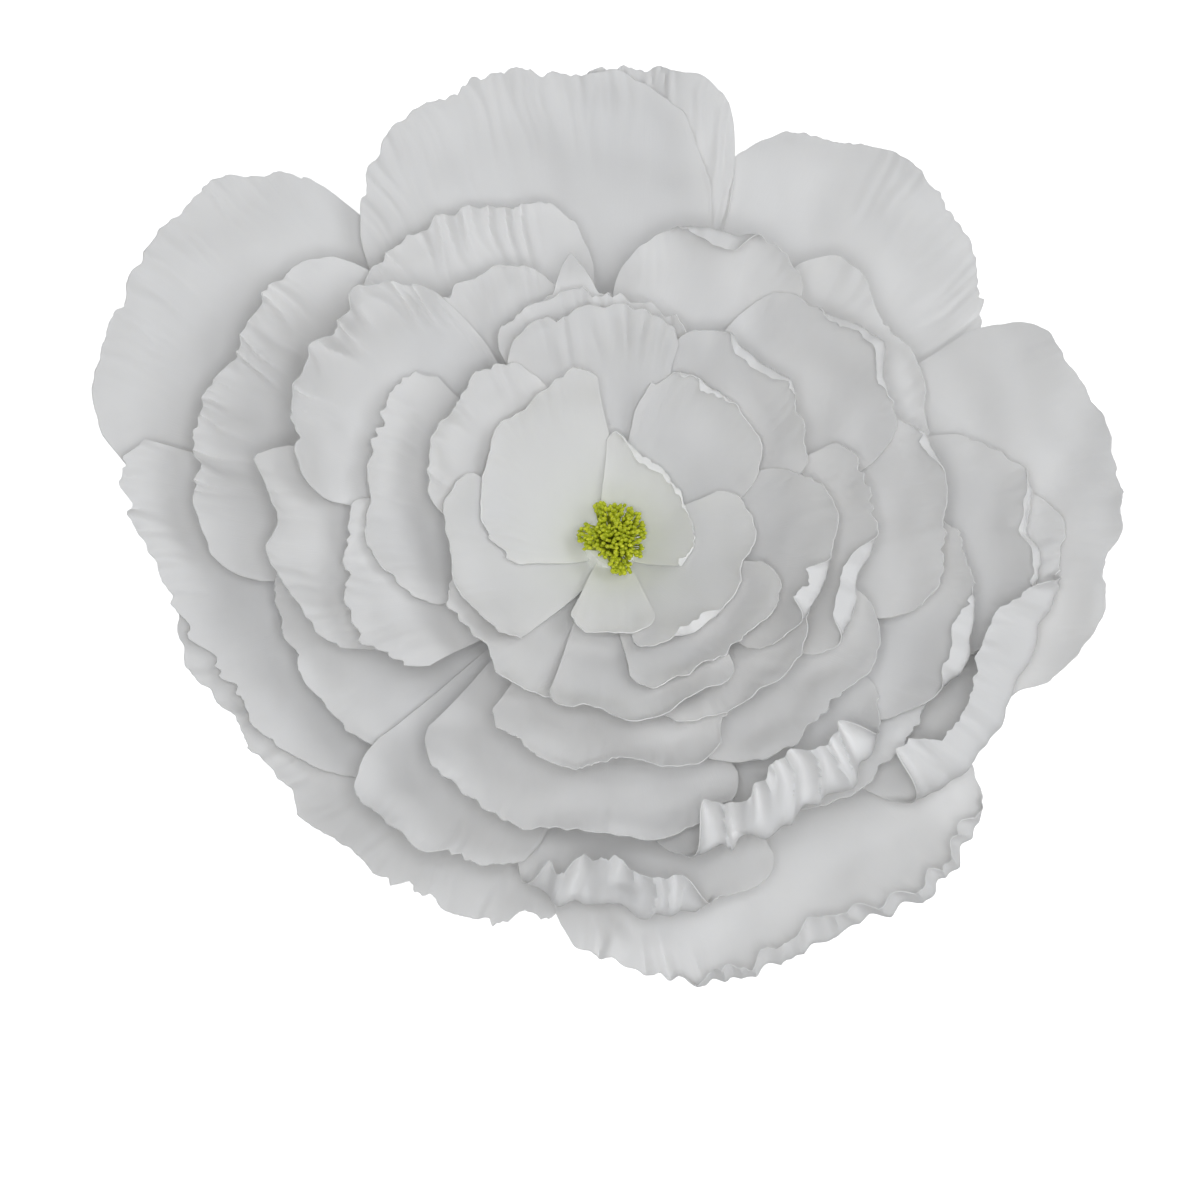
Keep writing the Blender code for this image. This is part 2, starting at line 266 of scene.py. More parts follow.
# %% Sizes of the rows and of the outline
DISC_THICKNESS = 0.003
FIRST_ROW_ABOVE_DISC = 0.003
ROW_PITCH = 0.0034
CORE_BASE_RADIUS = 0.060
CORE_TOP_RADIUS = 0.022
LEAN_LOWEST = 2.0               # slope of a petal where it leaves the core, in degrees
LEAN_HIGHEST = 36.0
BEND_LOWEST = 0.62              # radius that a petal is bent to
BEND_HIGHEST = 0.30
BEND_EASE = 1.3
ROW_CLEARANCE = 2.0             # petals nearer than this in azimuth count as overlapping
RING_REACH = {                  # from the flower's axis to the ring's rims
    "heart": 0.084,
    "fifth": 0.150,
    "fourth": 0.190,
    "third": 0.240,
    "second": 0.290,
    "guard": 0.370,
}

CORNER_DROP = 0.25              # how much shorter the sheet is at its side corners
CORNER_POWER = 3.0
CORNER_ROUND = 0.10             # rounds off the last bit of each corner
ROUND_POWER = 12.0
TIP_HALF_WIDTH = 0.33           # half width of a drawn-out tip, as a share of the petal's half width
FLARE = 0.35                    # how much wider the sheet's angle is at the core than at the rim
FLUTE = 0.008                   # height of the wide flutes at the rim, as a share of the length
FLUTES_START = 0.35             # share of the length that is left smooth
WAVES = 2.5                     # wide flutes in half a petal's width
ROLL_SPAN = (-0.7, 0.7)
ROLL_RADIUS = 0.014
ROLL_TURN = 112.0
ROLL_EASE = 0.25                # stretch of the half width over which the roll fades out
ROLL_WAVE = 0.25                # how much the rolled depth varies

# %% [markdown]
# ## What can be set on a petal
# Each petal gets an azimuth and a half angle in degrees, and a share by which it reaches past its ring
# or stays short of it. Positions across a petal run from -1 at its clockwise edge to 1 at the other.
# - skew, tip and corners change the cut outline.
# - roll turns a deep rim back over the petal, as a share of its reach, and fold only a narrow one.
# - pleat is the height of the pressed pleats, which fan out from the core and fade inwards.
# - turn bends the rim up or down, and rag makes it more or less ragged.

# %% The settings of a petal
PLEAT = 0.0005
PLEAT_SPAN = (-0.9, 0.9)
PLEAT_DEPTH = 0.06
PLEAT_PITCH = 0.013
TURN_SPAN = (-1.0, 1.0)
TURN_DEPTH = 0.014
FOLD_RADIUS = 0.0035


def petal(azimuth, half_angle, over=0.0, **more):
    """The settings of one petal, with plain values where none are given."""
    settings = {
        "azimuth": azimuth, "half_angle": half_angle, "over": over,
        "skew": 0.0, "tip": 0.0, "tip_at": 0.0, "corners": (CORNER_DROP, CORNER_DROP), "rag": 1.0,
        "roll": 0.0, "fold": 0.0, "roll_span": ROLL_SPAN, "roll_turn": ROLL_TURN,
        "roll_radius": FOLD_RADIUS if "fold" in more else ROLL_RADIUS,
        "waves": WAVES, "phase": 0.0,
        "pleat": PLEAT, "pleat_span": PLEAT_SPAN, "pleat_depth": PLEAT_DEPTH, "pleat_pitch": PLEAT_PITCH,
        "turn": 0.0, "turn_span": TURN_SPAN, "turn_depth": TURN_DEPTH,
    }
    settings.update(more)
    return settings


# %% [markdown]
# ## The guard petals
# The outermost petals are the widest and lie lowest. The one at the bottom and the one at the lower right
# roll their rim back over themselves, and the one at the left turns its rim down.

# %% The guard petals
RINGS = {}
RINGS["guard"] = [
    petal(152, 25, 0.155, corners=(0.20, 0.20), phase=0.4,
          pleat=0.0015, pleat_span=(-0.9, 0.5), pleat_depth=0.09, pleat_pitch=0.014),
    petal(50, 26, 0.020, skew=0.03, corners=(0.22, 0.26), tip=0.03, phase=1.9,
          pleat=0.0011, pleat_span=(-0.9, 0.3), pleat_depth=0.10),
    petal(225, 40, -0.125, skew=-0.06, corners=(-0.08, 0.00), phase=3.0, pleat=0.0009, rag=1.5),
    petal(294, 34, -0.025, skew=0.04, corners=(0.13, 0.05), phase=0.9,
          roll=0.045, roll_turn=84, roll_span=(-0.3, 0.7),
          pleat=0.0045, pleat_depth=0.06, pleat_pitch=0.022, rag=1.6),
    petal(1, 29, 0.045, corners=(0.30, 0.12), phase=2.2),
    petal(85, 14, 0.030, corners=(0.22, 0.10), phase=4.1,
          pleat=0.0020, pleat_span=(-1.2, 1.2), pleat_depth=0.10, pleat_pitch=0.012),
    petal(201, 32, -0.120, skew=-0.23, corners=(-0.05, 0.12), phase=5.0,
          turn=-0.007, turn_span=(-1.1, -0.35), turn_depth=0.028,
          pleat=0.0018, pleat_span=(-1.2, -0.2), pleat_depth=0.04, rag=1.4),
    petal(340, 26, -0.085, skew=0.08, corners=(0.04, 0.04), phase=1.2,
          roll=0.10, roll_span=(-0.75, 0.35), pleat=0.0014, pleat_depth=0.05, rag=1.5),
    petal(101, 31, 0.015, corners=(0.40, 0.22), phase=2.8,
          pleat=0.0012, pleat_span=(-0.6, 1.0), pleat_depth=0.10, pleat_pitch=0.014),
]
print("petals in the guard ring:", len(RINGS["guard"]))

# %% [markdown]
# ## The second ring
# The second ring stands on the guard petals. Two of its petals are rolled deeply and show the strongest
# pleats of the flower, at the bottom and at the lower right, and two more fold over a narrow bit of rim.

# %% The second ring
RINGS["second"] = [
    petal(160, 28, 0.140, corners=(0.11, 0.13), phase=3.3,
          pleat=0.0034, pleat_span=(-0.8, 0.7), pleat_depth=0.07, pleat_pitch=0.015),
    petal(357, 22, 0.120, phase=0.2, fold=0.006, roll_span=(-0.20, 0.30), rag=1.6),
    petal(272, 24, 0.035, skew=0.07, corners=(0.15, 0.02), phase=2.4,
          roll=0.10, roll_span=(-0.50, 0.35),
          pleat=0.0070, pleat_span=(-0.70, 0.50), pleat_depth=0.09, pleat_pitch=0.024),
    petal(38, 26, -0.040, skew=0.06, corners=(0.06, 0.35), phase=1.0),
    petal(208, 24, -0.085, skew=-0.07, corners=(0.03, 0.11), phase=4.4),
    petal(118, 24, -0.025, skew=0.02, corners=(0.17, 0.09), phase=0.6,
          pleat=0.0030, pleat_span=(-0.7, 1.2), pleat_depth=0.07, pleat_pitch=0.015),
    petal(325, 27, -0.035, corners=(0.12, 0.12), phase=5.5),
    petal(240, 18, 0.000, corners=(0.15, 0.19), phase=3.9, rag=1.8),
    petal(342, 20, -0.015, corners=(0.12, 0.12), phase=2.0,
          fold=0.011, roll_span=(-0.35, 0.20), rag=1.6),
    petal(303, 26, -0.065, corners=(0.06, 0.12), phase=1.5, roll=0.12, roll_span=(-0.6, 0.50),
          pleat=0.0100, pleat_span=(-0.75, 0.65), pleat_depth=0.10, pleat_pitch=0.026),
]
print("petals in the second ring:", len(RINGS["second"]))

# %% [markdown]
# ## The third ring
# From here inwards the petals are cut shorter and overlap more. Most are plain, with small folds at the
# right, where the light catches them.

# %% The third ring
RINGS["third"] = [
    petal(70, 20, 0.010, skew=-0.08, corners=(0.09, 0.11), phase=2.6,
          fold=0.010, roll_span=(-0.20, 0.25), rag=1.4),
    petal(2, 22, 0.060, corners=(0.09, 0.10), phase=3.5, fold=0.005, roll_span=(0.45, 0.60), rag=1.5),
    petal(189, 23, 0.075, skew=-0.04, corners=(0.05, 0.42), tip=0.10, tip_at=-0.75, phase=5.1,
          pleat=0.0010, rag=1.5),
    petal(262, 34, 0.030, corners=(0.12, 0.07), phase=0.8, rag=1.2),
    petal(37, 24, -0.015, skew=-0.06, corners=(0.19, 0.12), phase=5.6,
          fold=0.006, roll_span=(-0.40, 0.20), rag=1.5),
    petal(124, 24, -0.050, skew=0.10, corners=(0.11, 0.19), phase=1.3, pleat=0.0014, rag=1.5),
    petal(318, 30, -0.065, phase=2.1),
    petal(150, 26, 0.090, corners=(0.35, 0.19), phase=2.9,
          pleat=0.0038, pleat_span=(-1.0, 0.6), pleat_depth=0.07, pleat_pitch=0.015, rag=1.4),
    petal(196, 22, -0.130, corners=(0.06, 0.12), phase=1.9, pleat=0.0012, rag=1.6),
    petal(99, 16, -0.210, tip=0.18, phase=3.2),
]
print("petals in the third ring:", len(RINGS["third"]))

# %% [markdown]
# ## The fourth ring
# Six wide petals close the bowl round the middle. The lower one has the most ragged rim.

# %% The fourth ring
RINGS["fourth"] = [
    petal(352, 28, 0.040, corners=(0.05, 0.07), phase=4.7,
          fold=0.011, roll_span=(-0.60, -0.05), rag=1.6),
    petal(172, 32, 0.000, skew=-0.10, corners=(0.06, 0.10), phase=1.7, pleat=0.0012, rag=1.5),
    petal(95, 28, -0.065, skew=0.04, corners=(0.09, 0.06), phase=3.6, pleat=0.0012),
    petal(270, 32, 0.045, corners=(0.09, 0.09), phase=0.5, rag=2.2),
    petal(42, 30, -0.120, corners=(0.09, 0.07), phase=5.9,
          fold=0.005, roll_span=(-0.20, 0.40), rag=1.4),
    petal(312, 28, -0.070, corners=(0.12, 0.12), phase=2.3),
]
print("petals in the fourth ring:", len(RINGS["fourth"]))

# %% [markdown]
# ## The fifth ring
# Eight small petals stand steeper still. The upper ones are pleated down to the middle.

# %% The fifth ring
RINGS["fifth"] = [
    petal(97, 27, 0.085, corners=(0.06, 0.06), phase=0.7,
          pleat=0.0013, pleat_span=(-1.2, 0.6), pleat_depth=0.08, pleat_pitch=0.012, rag=1.4),
    petal(350, 34, 0.115, corners=(0.09, 0.38), phase=1.1,
          fold=0.014, roll_span=(-0.45, -0.25), rag=1.5),
    petal(240, 44, -0.035, corners=(0.05, 0.06), phase=3.4, rag=2.2),
    petal(147, 32, 0.010, corners=(0.20, 0.17), phase=2.7,
          pleat=0.0022, pleat_span=(-0.8, 0.9), pleat_depth=0.05, pleat_pitch=0.014, rag=1.3),
    petal(280, 30, 0.055, corners=(0.09, 0.09), phase=4.9, rag=2.0),
    petal(46, 34, -0.130, corners=(0.35, 0.19), phase=5.2, fold=0.005, roll_span=(0.10, 0.50), rag=1.4),
    petal(310, 34, -0.080, corners=(0.12, 0.12), phase=5.8, rag=1.5),
    petal(196, 36, -0.130, corners=(0.06, 0.06), phase=2.5),
]
print("petals in the fifth ring:", len(RINGS["fifth"]))

# %% [markdown]
# ## The heart
# Four petals cup the stamens. One of them is drawn out to a point and has a thin folded rim.

# %% The heart
RINGS["heart"] = [
    petal(330, 50, 0.285, corners=(0.19, 0.19), phase=0.3,
          fold=0.008, roll_span=(-0.50, -0.35), rag=1.5),
    petal(270, 27, 0.000, corners=(0.12, 0.12), phase=2.2),
    petal(148, 52, 0.300, skew=-0.28, corners=(0.07, 0.06), phase=4.2, pleat=0.0010, rag=1.6),
    petal(34, 60, -0.240, corners=(0.05, 0.00), tip=0.28, tip_at=0.92, phase=3.7,
          fold=0.0035, roll_radius=0.002, roll_span=(-0.90, 0.75), rag=1.8),
]
print("petals in the heart ring:", len(RINGS["heart"]))

# %% [markdown]
# ## Rows and bowls
# Now the rings are known, each petal can be given its row. Going through them in order is enough: a
# petal looks only at the neighbours of its own ring that were placed before it, and each ring starts
# above the last one.

# %% Rows and bowls
def overlap_in_azimuth(one, other):
    """Whether two petals cover a common stretch of azimuth."""
    apart = abs((one["azimuth"] - other["azimuth"] + 180.0) % 360.0 - 180.0)
    return apart < (one["half_angle"] + other["half_angle"]) * (1.0 + FLARE) + ROW_CLEARANCE


def stack_rows():
    """Row number of every petal, counted up the core."""
    rows = {}
    floor = 0
    for ring, petals in RINGS.items():
        for index, one in enumerate(petals):
            below = [rows[ring, i] for i in range(index) if overlap_in_azimuth(one, petals[i])]
            rows[ring, index] = max([floor] + [row + 1 for row in below])
        floor = 1 + max(rows.values())
    return rows


ROWS = stack_rows()
ROW_COUNT = 1 + max(ROWS.values())
print("rows of petals:", ROW_COUNT)


def row_height(row):
    """Height of a row's base edge."""
    return DISC_THICKNESS + FIRST_ROW_ABOVE_DISC + row * ROW_PITCH


def row_bowl(row):
    """Base radius, base height, starting slope and bend radius of a row's bowl."""
    up = row / (ROW_COUNT - 1)
    radius = CORE_BASE_RADIUS + (CORE_TOP_RADIUS - CORE_BASE_RADIUS) * up
    lean = math.radians(LEAN_LOWEST + (LEAN_HIGHEST - LEAN_LOWEST) * up)
    bend = BEND_LOWEST + (BEND_HIGHEST - BEND_LOWEST) * up ** BEND_EASE
    return radius, row_height(row), lean, bend


# %% [markdown]
# ## The petal's node tree
# A petal could be a sculpted mesh, but forty-seven sculpted petals would be slow to change. Here one
# tree makes them all. It takes a flat grid and moves each point along the bowl's arc, then round the
# roll if the rim is rolled, then off the surface by flutes and pleats. The tree's inputs come first:
# two counts of cells, the sizes, and the material.

# %% Inputs of the petal's tree
PETAL_COUNTS = ("Cells across", "Cells along")
PETAL_SIZES = (
    "Azimuth", "Half angle", "Base radius", "Base height", "Lean", "Bend", "Length", "Rim width", "Skew",
    "Tip", "Tip at", "Clockwise drop", "Anticlockwise drop", "Roll", "Roll from", "Roll to", "Roll radius",
    "Roll turn", "Waves", "Phase", "Pleat", "Pleat from", "Pleat to", "Pleat depth", "Pleat pitch", "Turn",
    "Turn from", "Turn to", "Turn depth", "Rag", "Seed",
)
PETAL_INPUTS = [(label, "NodeSocketInt") for label in PETAL_COUNTS]
PETAL_INPUTS += [(label, "NodeSocketFloat") for label in PETAL_SIZES]
PETAL_INPUTS += [("Material", "NodeSocketMaterial")]
print("inputs of the petal's tree:", len(PETAL_INPUTS))


def between(number, low, high, ease):
    """1 between two limits, easing to 0 inside each."""
    return ((number - low) / ease).eased() * ((high - number) / ease).eased()


# %% [markdown]
# ## The flat sheet and its cut outline
# The grid is 2 wide and 1 long, so a point's place in it says how far across and how far along the
# petal it lies. Rows of points crowd towards the rim, where the fine detail is. The drawn outline is
# the CAD model's. A hand-cut rim strays from it in long waves, and in patches it is notched and ragged,
# so the noise for that is turned up and down along the rim.

# %% Flat sheet and outline
RIM_CROWDING = 1.5
WOBBLE = 0.0125                 # long waves of the rim
WOBBLE_PITCH = 0.055
WOBBLE_SHARE = 0.6              # of the long waves, however ragged the petal is
RAG = 0.0038                    # fine rags of the rim
RAG_PITCH = 0.008
RAG_SHARE = 0.3                 # of the rags outside the ragged patches
NOTCH = 0.0085                  # pointed notches in the ragged patches
NOTCH_PITCH = 0.021
PATCH_PITCH = 0.05
PATCH_SHIFT = 0.4
WOBBLE_SLICE = 0.5              # each pattern reads its own slice of the noise
RAG_SLICE = 3.5
PATCH_SLICE = 7.5
NOTCH_SLICE = 9.5


def flat_sheet(tree, value):
    """A flat grid, and each point's place across it, from -1 to 1, and along it, from 0 to 1."""
    size = {"Size X": 2.0, "Size Y": 1.0}
    cells = {"Vertices X": value["Cells across"], "Vertices Y": value["Cells along"]}
    grid = add_node(tree, "GeometryNodeMeshGrid", {**size, **cells})
    across, up, _ = split(tree, tree.nodes.new("GeometryNodeInputPosition").outputs[0])
    along = 1.0 - (0.5 - up) ** RIM_CROWDING
    return grid.outputs["Mesh"], across, along


def drawn_outline(value, across):
    """Length of the drawn petal at a place across it, as a share of its full length."""
    anticlockwise = across.over(0.0)
    drop = value["Clockwise drop"] * (1.0 - anticlockwise) + value["Anticlockwise drop"] * anticlockwise
    outline = 1.0 - drop * across.abs() ** CORNER_POWER - across.abs() ** ROUND_POWER * CORNER_ROUND
    outline = outline + value["Skew"] * across
    from_tip = ((across - value["Tip at"]).abs() / TIP_HALF_WIDTH).at_most(1.0)
    return outline + value["Tip"] * (1.0 - from_tip)


def hand_cut(tree, value, metres):
    """How far the cut rim strays from the outline: its long waves, and its rags and notches."""
    seed = value["Seed"]
    ragged = value["Rag"]
    waves = noise(tree, metres / WOBBLE_PITCH, seed, WOBBLE_SLICE, detail=2.0) * WOBBLE
    waves = waves * (ragged * (1.0 - WOBBLE_SHARE) + WOBBLE_SHARE)
    patches = (noise(tree, metres / PATCH_PITCH, seed, PATCH_SLICE) + PATCH_SHIFT).eased()
    notches = noise(tree, metres / NOTCH_PITCH, seed, NOTCH_SLICE).abs() * NOTCH * patches
    rags = noise(tree, metres / RAG_PITCH, seed, RAG_SLICE, detail=2.0) * RAG * (patches + RAG_SHARE)
    return waves, (rags - notches) * ragged


# %% [markdown]
# ## Relief on the sheet
# The relief is a height above the bowl, added up from what a maker does to the paper. Wide flutes are a
# wave across the petal. A slow swell keeps the sheet from looking like rolled metal. Pleats are noise
# stretched along the sheet: its absolute value gives sharp valleys between round ridges, as pressed
# pleats have. The lip is the last centimetre of the rim, which curls where the scissors passed.

# %% Relief on the sheet
SWELL = 0.0068
SWELL_PITCH = 0.085
SWELL_SLICE = 20.0
PLEAT_GAIN = 1.6
PLEAT_SHARPNESS = 1.8
PLEAT_SINK = 0.5                # how deep the valleys go below the sheet
PLEAT_LENGTH = 0.11
PLEAT_EASE = 0.25
FAN_PITCH = 0.05                # the pleats wander sideways over this distance
FAN_WANDER = 0.4
FAN_SLICE = 4.0
CURL = 0.0012
CURL_DEPTH = 0.012
CURL_PITCH = 0.04
CURL_SLICE = 11.5
TURN_EASE = 0.12
TURN_SHARE = 0.9
TURN_UNEVEN = 0.35


def pleats(tree, value, across, metres, travel, to_rim):
    """Height of the pressed pleats."""
    seed = value["Seed"]
    inside = between(across, value["Pleat from"], value["Pleat to"], PLEAT_EASE)
    near_rim = (1.0 - to_rim / value["Pleat depth"]).eased()
    wander = noise(tree, metres / FAN_PITCH, travel / FAN_PITCH, seed + FAN_SLICE) * FAN_WANDER
    fan = metres / value["Pleat pitch"] + wander
    streak = noise(tree, fan, travel / PLEAT_LENGTH, seed).abs() * PLEAT_SHARPNESS - PLEAT_SINK
    return value["Pleat"] * PLEAT_GAIN * streak * near_rim * inside


def lip(tree, value, across, metres, to_rim):
    """Height of the curled or turned rim."""
    patchy = noise(tree, metres / CURL_PITCH, value["Seed"], CURL_SLICE)
    unrolled = 1.0 - value["Roll"].over(0.0)
    curl = (1.0 - to_rim / CURL_DEPTH).eased() * patchy * CURL * unrolled
    bent = (1.0 - to_rim / value["Turn depth"]).at_least(0.0)
    where = between(across, value["Turn from"], value["Turn to"], TURN_EASE)
    return curl + value["Turn"] * bent * bent * where * (patchy * TURN_UNEVEN + TURN_SHARE)


def relief(tree, value, across, along, metres, travel, to_rim, wave):
    """Height of the sheet above its bowl."""
    outer = ((along - FLUTES_START) / (1.0 - FLUTES_START)).eased()
    flute = value["Length"] * FLUTE * wave * outer
    place = (metres / SWELL_PITCH, travel / SWELL_PITCH, value["Seed"] + SWELL_SLICE)
    swell = noise(tree, *place, detail=1.0) * SWELL * outer
    pleated = pleats(tree, value, across, metres, travel, to_rim)
    return flute + swell + pleated + lip(tree, value, across, metres, to_rim)


# %% [markdown]
# ## Bending the sheet
# A point's travel is its distance along the sheet from the core. The first part of it follows the
# bowl's arc, the next part the tight arc of the roll, and what is left goes straight on. This is how a
# real sheet behaves: it bends, but it never stretches. The sheet starts a little inside the core's
# edge, where it is glued.

# %% Bending the sheet
BASE_TUCK = 0.002


def follow_arc(radius, height, slope, length, bend):
    """Move along an arc in the plane of the flower's radius and height."""
    end = slope + length / bend
    radius = radius + bend * (end.sin() - slope.sin())
    height = height + bend * (slope.cos() - end.cos())
    return radius, height, end


def roll_share(value, across):
    """1 where the rim is rolled, easing to 0 beside it."""
    rises = ((across - value["Roll from"] + ROLL_EASE) / ROLL_EASE).eased()
    falls = ((value["Roll to"] + ROLL_EASE - across) / ROLL_EASE).eased()
    return rises * falls * value["Roll"].over(0.0)


def bend_sheet(value, travel, sheet_end, turned):
    """Radius, height and slope of a point on the bowl, on the roll or past it."""
    on_bowl = travel.at_most(sheet_end)
    start = (value["Base radius"], value["Base height"], value["Lean"])
    radius, height, slope = follow_arc(*start, on_bowl, value["Bend"])
    on_roll = (travel - on_bowl).at_most(turned)
    radius, height, slope = follow_arc(radius, height, slope, on_roll, value["Roll radius"])
    rest = travel - on_bowl - on_roll
    return radius + rest * slope.cos(), height + rest * slope.sin(), slope


def petal_tree():
    """The tree that turns a flat grid into one petal's middle surface."""
    tree, value, identifiers = new_tree("petal", PETAL_INPUTS)
    mesh, across, along = flat_sheet(tree, value)
    metres = across * value["Rim width"]
    wave = (value["Waves"] * math.pi * across + value["Phase"]).sin()
    waves, rags = hand_cut(tree, value, metres)
    rolled = roll_share(value, across)
    sheet_end = value["Length"] * drawn_outline(value, across) + waves + rags * (1.0 - rolled)
    turned = rolled * value["Roll radius"] * value["Roll turn"]
    curl = turned + value["Roll"] * rolled * (wave * ROLL_WAVE + 1.0)
    whole = sheet_end + curl + rags * rolled
    travel = along * (whole + BASE_TUCK) - BASE_TUCK

    radius, height, slope = bend_sheet(value, travel, sheet_end, turned)
    lift = relief(tree, value, across, along, metres, travel, whole - travel, wave)
    radius = radius - lift * slope.sin()
    height = height + lift * slope.cos()
    turn = value["Azimuth"] + value["Half angle"] * ((1.0 - along) ** 2.0 * FLARE + 1.0) * across
    place = combine(tree, radius * turn.cos(), radius * turn.sin(), height)
    finish_tree(tree, moved_sheet(tree, mesh, metres, along, place), value["Material"])
    return tree, identifiers


# %% [markdown]
# ## The end of the petal's tree
# Before the points move, the tree stores where each one lay on the flat sheet. The material uses this map
# for the grain, which then follows the sheet round its bends. Realize Instances and Set Material end the
# tree, so that it gives real geometry with its material.

# %% End of the petal's tree
def moved_sheet(tree, mesh, metres, along, place):
    """The grid with its flat map stored and its points moved to their places."""
    flat_place = combine(tree, metres, along, 0.0)
    inputs = {"Geometry": mesh, "Name": "sheet", "Value": flat_place}
    chart = add_node(tree, "GeometryNodeStoreNamedAttribute", inputs, data_type="FLOAT2", domain="CORNER")
    inputs = {"Geometry": chart.outputs["Geometry"], "Position": place}
    return add_node(tree, "GeometryNodeSetPosition", inputs).outputs["Geometry"]


def finish_tree(tree, geometry, material):
    """Smooth shading, real geometry and the material, at the end of a tree."""
    smooth = add_node(tree, "GeometryNodeSetShadeSmooth", {"Geometry": geometry})
    real = add_node(tree, "GeometryNodeRealizeInstances", {"Geometry": smooth.outputs[0]})
    paint = add_node(tree, "GeometryNodeSetMaterial", {"Geometry": real.outputs[0], "Material": material})
    add_node(tree, "NodeGroupOutput", {"Geometry": paint.outputs[0]})


PETAL_TREE, PETAL_IDENTIFIERS = petal_tree()
print("nodes in the petal's tree:", len(PETAL_TREE.nodes))

# %% [markdown]
# ## Materials
# Every material here is a plain shader with a little unevenness. These helpers read a place on the
# object, scatter spots over it and blend two colours by them. Object coordinates are used, because the
# pieces stay where they are and the pattern then has a real size.

# %% Material helpers
def new_material(name, roughness):
    """A material and its shader."""
    material = bpy.data.materials.new(name)
    material.use_nodes = True
    shader = material.node_tree.nodes["Principled BSDF"]
    shader.inputs["Roughness"].default_value = roughness
    return material, shader


def object_place(tree):
    """The three object coordinates as numbers."""
    return split(tree, tree.nodes.new("ShaderNodeTexCoord").outputs["Object"])


def spots(tree, place, to_the_metre, detail=0.0):
    """Noise with so many spots to the metre along each of the three axes."""
    x, y, z = [number * count for number, count in zip(place, to_the_metre)]
    return noise(tree, x, y, z, detail)


def as_share(number):
    """A number of -1 to 1 as a share of 0 to 1."""
    return (number * 0.5 + 0.5).held()


def blend_colours(tree, share, low, high):
    """A colour between two others. Each may be a colour or a socket."""
    low, high = [(*colour, 1.0) if isinstance(colour, tuple) else colour for colour in (low, high)]
    node = add_node(tree, "ShaderNodeMix", {"Factor": share, "A": low, "B": high}, data_type="RGBA")
    return node.outputs["Result"]


def bump(tree, shader, height, distance):
    """Bump on the shader from a height number."""
    node = add_node(tree, "ShaderNodeBump", {"Distance": distance, "Height": height})
    tree.links.new(node.outputs["Normal"], shader.inputs["Normal"])


# %% [markdown]
# ## Petal sheet
# The petals are a soft matt white sheet that lets a little light through, so the shader scatters some
# light under its surface. The rest is what the sheet itself has: a faint grain along its length, a trace
# of unevenness in the white, and a green-cream tint where the petals run down to the stamens.

# %% Petal sheet
SHEET_WHITE = (0.91, 0.90, 0.885)
SHEET_COOL = (0.895, 0.89, 0.885)
HEART_TINT = (0.89, 0.895, 0.86)
TINT_RADIUS = 0.10
SHEET_ROUGHNESS = 0.62
SHEET_SHINE = 0.25
CLOUDS = (9.0,) * 3             # spots to the metre along each axis, here and below
GRAIN_ACROSS = 900.0
GRAIN_ALONG = 14.0
GRAIN_DEPTH = 0.00003
LIGHT_THROUGH = 0.3
LIGHT_DEPTH = 0.004
LIGHT_SPREAD = (1.0, 0.95, 0.85)


def petal_material():
    """Soft white sheet with a faint grain along its length."""
    material, shader = new_material("petal_sheet", SHEET_ROUGHNESS)
    tree = material.node_tree
    place = object_place(tree)
    clouds = as_share(spots(tree, place, CLOUDS, detail=2.0))
    white = blend_colours(tree, clouds, SHEET_WHITE, SHEET_COOL)
    x, y, _ = place
    near = (1.0 - (x * x + y * y) ** 0.5 / TINT_RADIUS).eased()
    set_inputs(tree, shader, {
        "Base Color": blend_colours(tree, near, white, HEART_TINT),
        "Specular IOR Level": SHEET_SHINE,
        "Subsurface Weight": LIGHT_THROUGH,
        "Subsurface Scale": LIGHT_DEPTH,
        "Subsurface Radius": LIGHT_SPREAD,
    })
    chart = add_node(tree, "ShaderNodeUVMap", {}, uv_map="sheet")
    across, along, _ = split(tree, chart.outputs[0])
    grain = noise(tree, across * GRAIN_ACROSS, along * GRAIN_ALONG, 0.0, detail=2.0)
    bump(tree, shader, grain, GRAIN_DEPTH)
    return material


PETAL_SHEET = petal_material()
print("nodes in the sheet's material:", len(PETAL_SHEET.node_tree.nodes))

# %% [markdown]
# ## Make the petals
# Each petal runs the tree with its own settings. A Solidify modifier gives it its thickness, half to each
# side, so that it lies in the middle of its solid, and it becomes a plain mesh that stands for its CAD
# node. Its length is worked out backwards, from how far its rim lies from the flower's axis.

# %% Length and settings of a petal
CELL = 0.0021
CELLS_ALONG = 0.45              # of the cells that square ones would need, because pleats run lengthwise
ROLL_CELLS = 20                 # more cells along a sheet whose rim is rolled deeply
STEEPEST = 0.98                 # sine of the steepest slope that a bowl reaches


def sheet_length(row, rim_radius):
    """Length along the bowl from the core to a rim at the given distance from the axis."""
    radius, _, lean, bend = row_bowl(row)
    end = math.asin(min(STEEPEST, (rim_radius - radius) / bend + math.sin(lean)))
    return bend * (end - lean)


PLAIN_SETTINGS = (
    "skew", "tip", "tip_at", "roll_radius", "waves", "phase", "pleat", "pleat_depth", "pleat_pitch", "turn",
    "turn_depth", "rag",
)


